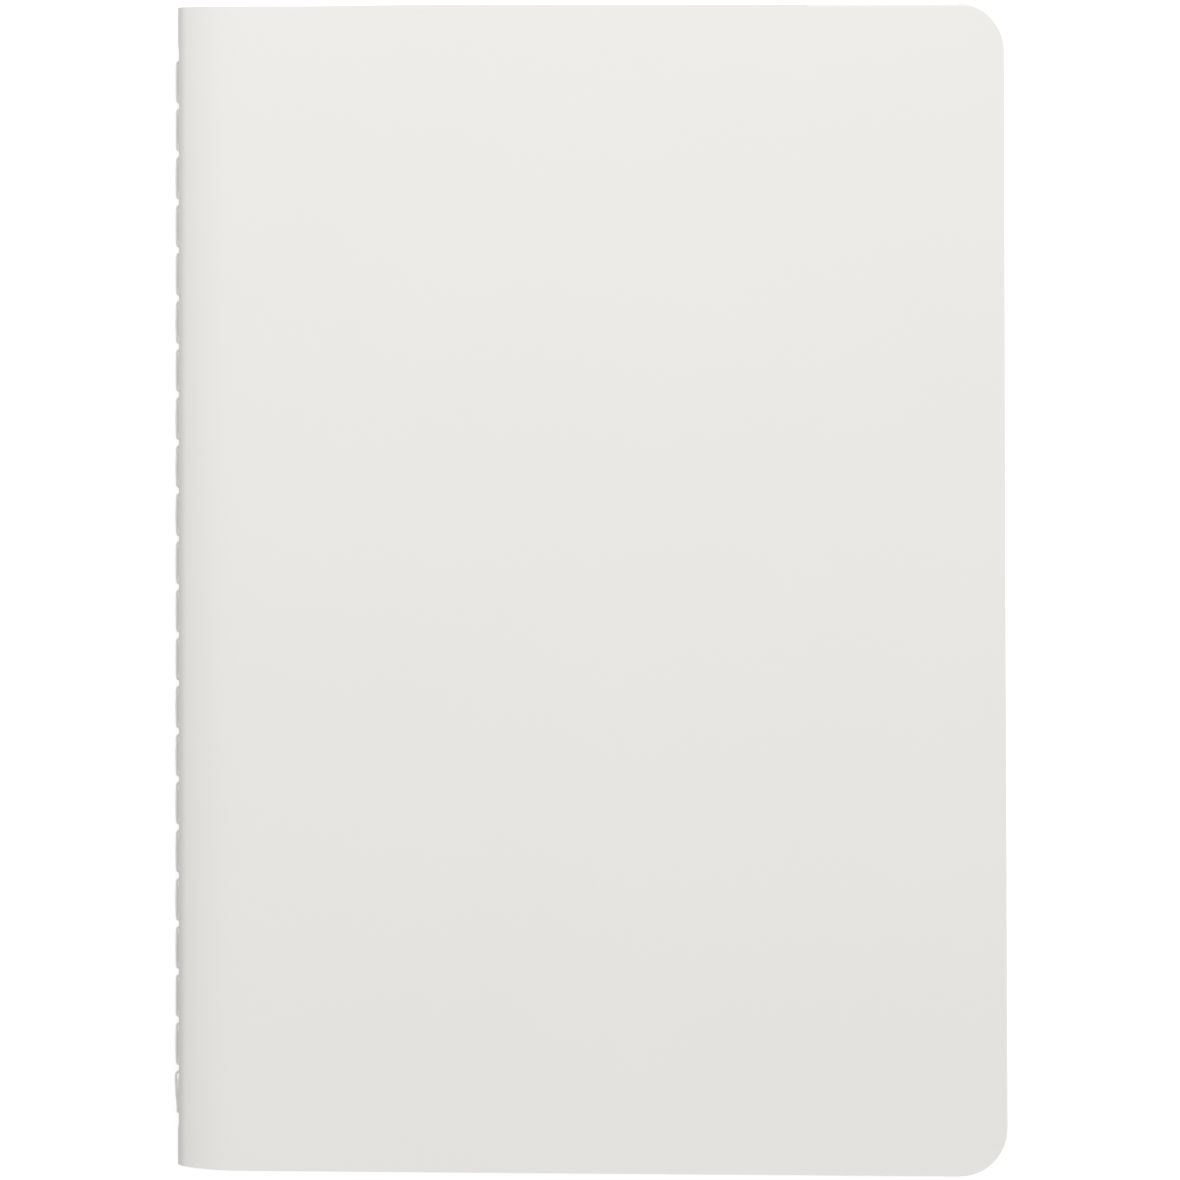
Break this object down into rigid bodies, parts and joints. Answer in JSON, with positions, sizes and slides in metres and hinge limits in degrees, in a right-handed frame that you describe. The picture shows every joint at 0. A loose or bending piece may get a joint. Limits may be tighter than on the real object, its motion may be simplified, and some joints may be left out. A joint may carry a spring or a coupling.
{
  "type": "stone paper notebook",
  "caption": "Thin softcover stone paper notebook with rounded fore-edge corners and a stitched spine; the cover and leaves turn open about the fold.",
  "frame": {"origin": "centre of the closed notebook's bounding box, on the underside of the back cover", "axes": "+X from the stitched spine to the fore edge, +Y from tail to head, +Z from the back cover to the front cover"},
  "size_m": [0.1492, 0.2092, 0.0047],
  "materials": {
    "cover": "matte",
    "page": "matte",
    "thread": "matte"
  },
  "bodies": {
    "back_cover": {"back_cover": "cover"},
    "spine": {"spine_cover": "cover", "fold_01": "page", "fold_02": "page", "fold_03": "page", "fold_04": "page", "fold_05": "page", "fold_06": "page", "fold_07": "page", "fold_08": "page", "fold_09": "page", "fold_10": "page", "fold_11": "page", "fold_12": "page", "fold_13": "page", "fold_14": "page", "fold_15": "page", "fold_16": "page", "needle_thread": "thread", "bobbin_thread": "thread"},
    "leaf_01": {"leaf_01": "page"},
    "leaf_02": {"leaf_02": "page"},
    "leaf_03": {"leaf_03": "page"},
    "leaf_04": {"leaf_04": "page"},
    "leaf_05": {"leaf_05": "page"},
    "leaf_06": {"leaf_06": "page"},
    "leaf_07": {"leaf_07": "page"},
    "leaf_08": {"leaf_08": "page"},
    "leaf_09": {"leaf_09": "page"},
    "leaf_10": {"leaf_10": "page"},
    "leaf_11": {"leaf_11": "page"},
    "leaf_12": {"leaf_12": "page"},
    "leaf_13": {"leaf_13": "page"},
    "leaf_14": {"leaf_14": "page"},
    "leaf_15": {"leaf_15": "page"},
    "leaf_16": {"leaf_16": "page"},
    "leaf_17": {"leaf_17": "page"},
    "leaf_18": {"leaf_18": "page"},
    "leaf_19": {"leaf_19": "page"},
    "leaf_20": {"leaf_20": "page"},
    "leaf_21": {"leaf_21": "page"},
    "leaf_22": {"leaf_22": "page"},
    "leaf_23": {"leaf_23": "page"},
    "leaf_24": {"leaf_24": "page"},
    "leaf_25": {"leaf_25": "page"},
    "leaf_26": {"leaf_26": "page"},
    "leaf_27": {"leaf_27": "page"},
    "leaf_28": {"leaf_28": "page"},
    "leaf_29": {"leaf_29": "page"},
    "leaf_30": {"leaf_30": "page"},
    "leaf_31": {"leaf_31": "page"},
    "leaf_32": {"leaf_32": "page"},
    "front_cover": {"front_cover": "cover"}
  },
  "joints": [
    {"name": "leaf_01_turn", "type": "hinge", "parent": "back_cover", "child": "leaf_01", "pos_m": [-0.07199, 0, 0.00234], "axis": [0, -1, 0], "range_deg": [0, 178]},
    {"name": "leaf_02_turn", "type": "hinge", "parent": "back_cover", "child": "leaf_02", "pos_m": [-0.07199, 0, 0.00234], "axis": [0, -1, 0], "range_deg": [0, 178]},
    {"name": "leaf_03_turn", "type": "hinge", "parent": "back_cover", "child": "leaf_03", "pos_m": [-0.07199, 0, 0.00234], "axis": [0, -1, 0], "range_deg": [0, 178]},
    {"name": "leaf_04_turn", "type": "hinge", "parent": "back_cover", "child": "leaf_04", "pos_m": [-0.07199, 0, 0.00234], "axis": [0, -1, 0], "range_deg": [0, 178]},
    {"name": "leaf_05_turn", "type": "hinge", "parent": "back_cover", "child": "leaf_05", "pos_m": [-0.07199, 0, 0.00234], "axis": [0, -1, 0], "range_deg": [0, 178]},
    {"name": "leaf_06_turn", "type": "hinge", "parent": "back_cover", "child": "leaf_06", "pos_m": [-0.07199, 0, 0.00234], "axis": [0, -1, 0], "range_deg": [0, 178]},
    {"name": "leaf_07_turn", "type": "hinge", "parent": "back_cover", "child": "leaf_07", "pos_m": [-0.07199, 0, 0.00234], "axis": [0, -1, 0], "range_deg": [0, 178]},
    {"name": "leaf_08_turn", "type": "hinge", "parent": "back_cover", "child": "leaf_08", "pos_m": [-0.07199, 0, 0.00234], "axis": [0, -1, 0], "range_deg": [0, 178]},
    {"name": "leaf_09_turn", "type": "hinge", "parent": "back_cover", "child": "leaf_09", "pos_m": [-0.07199, 0, 0.00234], "axis": [0, -1, 0], "range_deg": [0, 178]},
    {"name": "leaf_10_turn", "type": "hinge", "parent": "back_cover", "child": "leaf_10", "pos_m": [-0.07199, 0, 0.00234], "axis": [0, -1, 0], "range_deg": [0, 178]},
    {"name": "leaf_11_turn", "type": "hinge", "parent": "back_cover", "child": "leaf_11", "pos_m": [-0.07199, 0, 0.00234], "axis": [0, -1, 0], "range_deg": [0, 178]},
    {"name": "leaf_12_turn", "type": "hinge", "parent": "back_cover", "child": "leaf_12", "pos_m": [-0.07199, 0, 0.00234], "axis": [0, -1, 0], "range_deg": [0, 178]},
    {"name": "leaf_13_turn", "type": "hinge", "parent": "back_cover", "child": "leaf_13", "pos_m": [-0.07199, 0, 0.00234], "axis": [0, -1, 0], "range_deg": [0, 178]},
    {"name": "leaf_14_turn", "type": "hinge", "parent": "back_cover", "child": "leaf_14", "pos_m": [-0.07199, 0, 0.00234], "axis": [0, -1, 0], "range_deg": [0, 178]},
    {"name": "leaf_15_turn", "type": "hinge", "parent": "back_cover", "child": "leaf_15", "pos_m": [-0.07199, 0, 0.00234], "axis": [0, -1, 0], "range_deg": [0, 178]},
    {"name": "leaf_16_turn", "type": "hinge", "parent": "back_cover", "child": "leaf_16", "pos_m": [-0.07199, 0, 0.00234], "axis": [0, -1, 0], "range_deg": [0, 178]},
    {"name": "leaf_17_turn", "type": "hinge", "parent": "back_cover", "child": "leaf_17", "pos_m": [-0.07199, 0, 0.00234], "axis": [0, -1, 0], "range_deg": [0, 178]},
    {"name": "leaf_18_turn", "type": "hinge", "parent": "back_cover", "child": "leaf_18", "pos_m": [-0.07199, 0, 0.00234], "axis": [0, -1, 0], "range_deg": [0, 178]},
    {"name": "leaf_19_turn", "type": "hinge", "parent": "back_cover", "child": "leaf_19", "pos_m": [-0.07199, 0, 0.00234], "axis": [0, -1, 0], "range_deg": [0, 178]},
    {"name": "leaf_20_turn", "type": "hinge", "parent": "back_cover", "child": "leaf_20", "pos_m": [-0.07199, 0, 0.00234], "axis": [0, -1, 0], "range_deg": [0, 178]},
    {"name": "leaf_21_turn", "type": "hinge", "parent": "back_cover", "child": "leaf_21", "pos_m": [-0.07199, 0, 0.00234], "axis": [0, -1, 0], "range_deg": [0, 178]},
    {"name": "leaf_22_turn", "type": "hinge", "parent": "back_cover", "child": "leaf_22", "pos_m": [-0.07199, 0, 0.00234], "axis": [0, -1, 0], "range_deg": [0, 178]},
    {"name": "leaf_23_turn", "type": "hinge", "parent": "back_cover", "child": "leaf_23", "pos_m": [-0.07199, 0, 0.00234], "axis": [0, -1, 0], "range_deg": [0, 178]},
    {"name": "leaf_24_turn", "type": "hinge", "parent": "back_cover", "child": "leaf_24", "pos_m": [-0.07199, 0, 0.00234], "axis": [0, -1, 0], "range_deg": [0, 178]},
    {"name": "leaf_25_turn", "type": "hinge", "parent": "back_cover", "child": "leaf_25", "pos_m": [-0.07199, 0, 0.00234], "axis": [0, -1, 0], "range_deg": [0, 178]},
    {"name": "leaf_26_turn", "type": "hinge", "parent": "back_cover", "child": "leaf_26", "pos_m": [-0.07199, 0, 0.00234], "axis": [0, -1, 0], "range_deg": [0, 178]},
    {"name": "leaf_27_turn", "type": "hinge", "parent": "back_cover", "child": "leaf_27", "pos_m": [-0.07199, 0, 0.00234], "axis": [0, -1, 0], "range_deg": [0, 178]},
    {"name": "leaf_28_turn", "type": "hinge", "parent": "back_cover", "child": "leaf_28", "pos_m": [-0.07199, 0, 0.00234], "axis": [0, -1, 0], "range_deg": [0, 178]},
    {"name": "leaf_29_turn", "type": "hinge", "parent": "back_cover", "child": "leaf_29", "pos_m": [-0.07199, 0, 0.00234], "axis": [0, -1, 0], "range_deg": [0, 178]},
    {"name": "leaf_30_turn", "type": "hinge", "parent": "back_cover", "child": "leaf_30", "pos_m": [-0.07199, 0, 0.00234], "axis": [0, -1, 0], "range_deg": [0, 178]},
    {"name": "leaf_31_turn", "type": "hinge", "parent": "back_cover", "child": "leaf_31", "pos_m": [-0.07199, 0, 0.00234], "axis": [0, -1, 0], "range_deg": [0, 178]},
    {"name": "leaf_32_turn", "type": "hinge", "parent": "back_cover", "child": "leaf_32", "pos_m": [-0.07199, 0, 0.00234], "axis": [0, -1, 0], "range_deg": [0, 178]},
    {"name": "spine_turn", "type": "hinge", "parent": "back_cover", "child": "spine", "pos_m": [-0.07199, 0, 0.00234], "axis": [0, -1, 0], "range_deg": [0, 89]},
    {"name": "front_cover_turn", "type": "hinge", "parent": "leaf_01", "child": "front_cover", "pos_m": [-0.07112, 0, 0.00499], "axis": [0, -1, 0], "range_deg": [0, 178]}
  ],
  "couplings": [
    {"joint": "leaf_02_turn", "follows": "leaf_01_turn", "ratio": 0.99526},
    {"joint": "leaf_03_turn", "follows": "leaf_01_turn", "ratio": 0.99315},
    {"joint": "leaf_04_turn", "follows": "leaf_01_turn", "ratio": 0.99062},
    {"joint": "leaf_05_turn", "follows": "leaf_01_turn", "ratio": 0.98776},
    {"joint": "leaf_06_turn", "follows": "leaf_01_turn", "ratio": 0.98465},
    {"joint": "leaf_07_turn", "follows": "leaf_01_turn", "ratio": 0.9813},
    {"joint": "leaf_08_turn", "follows": "leaf_01_turn", "ratio": 0.97776},
    {"joint": "leaf_09_turn", "follows": "leaf_01_turn", "ratio": 0.97403},
    {"joint": "leaf_10_turn", "follows": "leaf_01_turn", "ratio": 0.97013},
    {"joint": "leaf_11_turn", "follows": "leaf_01_turn", "ratio": 0.96608},
    {"joint": "leaf_12_turn", "follows": "leaf_01_turn", "ratio": 0.96189},
    {"joint": "leaf_13_turn", "follows": "leaf_01_turn", "ratio": 0.95756},
    {"joint": "leaf_14_turn", "follows": "leaf_01_turn", "ratio": 0.9531},
    {"joint": "leaf_15_turn", "follows": "leaf_01_turn", "ratio": 0.94852},
    {"joint": "leaf_16_turn", "follows": "leaf_01_turn", "ratio": 0.94382},
    {"joint": "leaf_17_turn", "follows": "leaf_01_turn", "ratio": 0.05618},
    {"joint": "leaf_18_turn", "follows": "leaf_01_turn", "ratio": 0.05148},
    {"joint": "leaf_19_turn", "follows": "leaf_01_turn", "ratio": 0.0469},
    {"joint": "leaf_20_turn", "follows": "leaf_01_turn", "ratio": 0.04244},
    {"joint": "leaf_21_turn", "follows": "leaf_01_turn", "ratio": 0.03811},
    {"joint": "leaf_22_turn", "follows": "leaf_01_turn", "ratio": 0.03392},
    {"joint": "leaf_23_turn", "follows": "leaf_01_turn", "ratio": 0.02987},
    {"joint": "leaf_24_turn", "follows": "leaf_01_turn", "ratio": 0.02597},
    {"joint": "leaf_25_turn", "follows": "leaf_01_turn", "ratio": 0.02224},
    {"joint": "leaf_26_turn", "follows": "leaf_01_turn", "ratio": 0.0187},
    {"joint": "leaf_27_turn", "follows": "leaf_01_turn", "ratio": 0.01535},
    {"joint": "leaf_28_turn", "follows": "leaf_01_turn", "ratio": 0.01224},
    {"joint": "leaf_29_turn", "follows": "leaf_01_turn", "ratio": 0.00938},
    {"joint": "leaf_30_turn", "follows": "leaf_01_turn", "ratio": 0.00685},
    {"joint": "leaf_31_turn", "follows": "leaf_01_turn", "ratio": 0.00474},
    {"joint": "leaf_32_turn", "follows": "leaf_01_turn", "ratio": 0.00337},
    {"joint": "spine_turn", "follows": "leaf_01_turn", "ratio": 0.5}
  ]
}
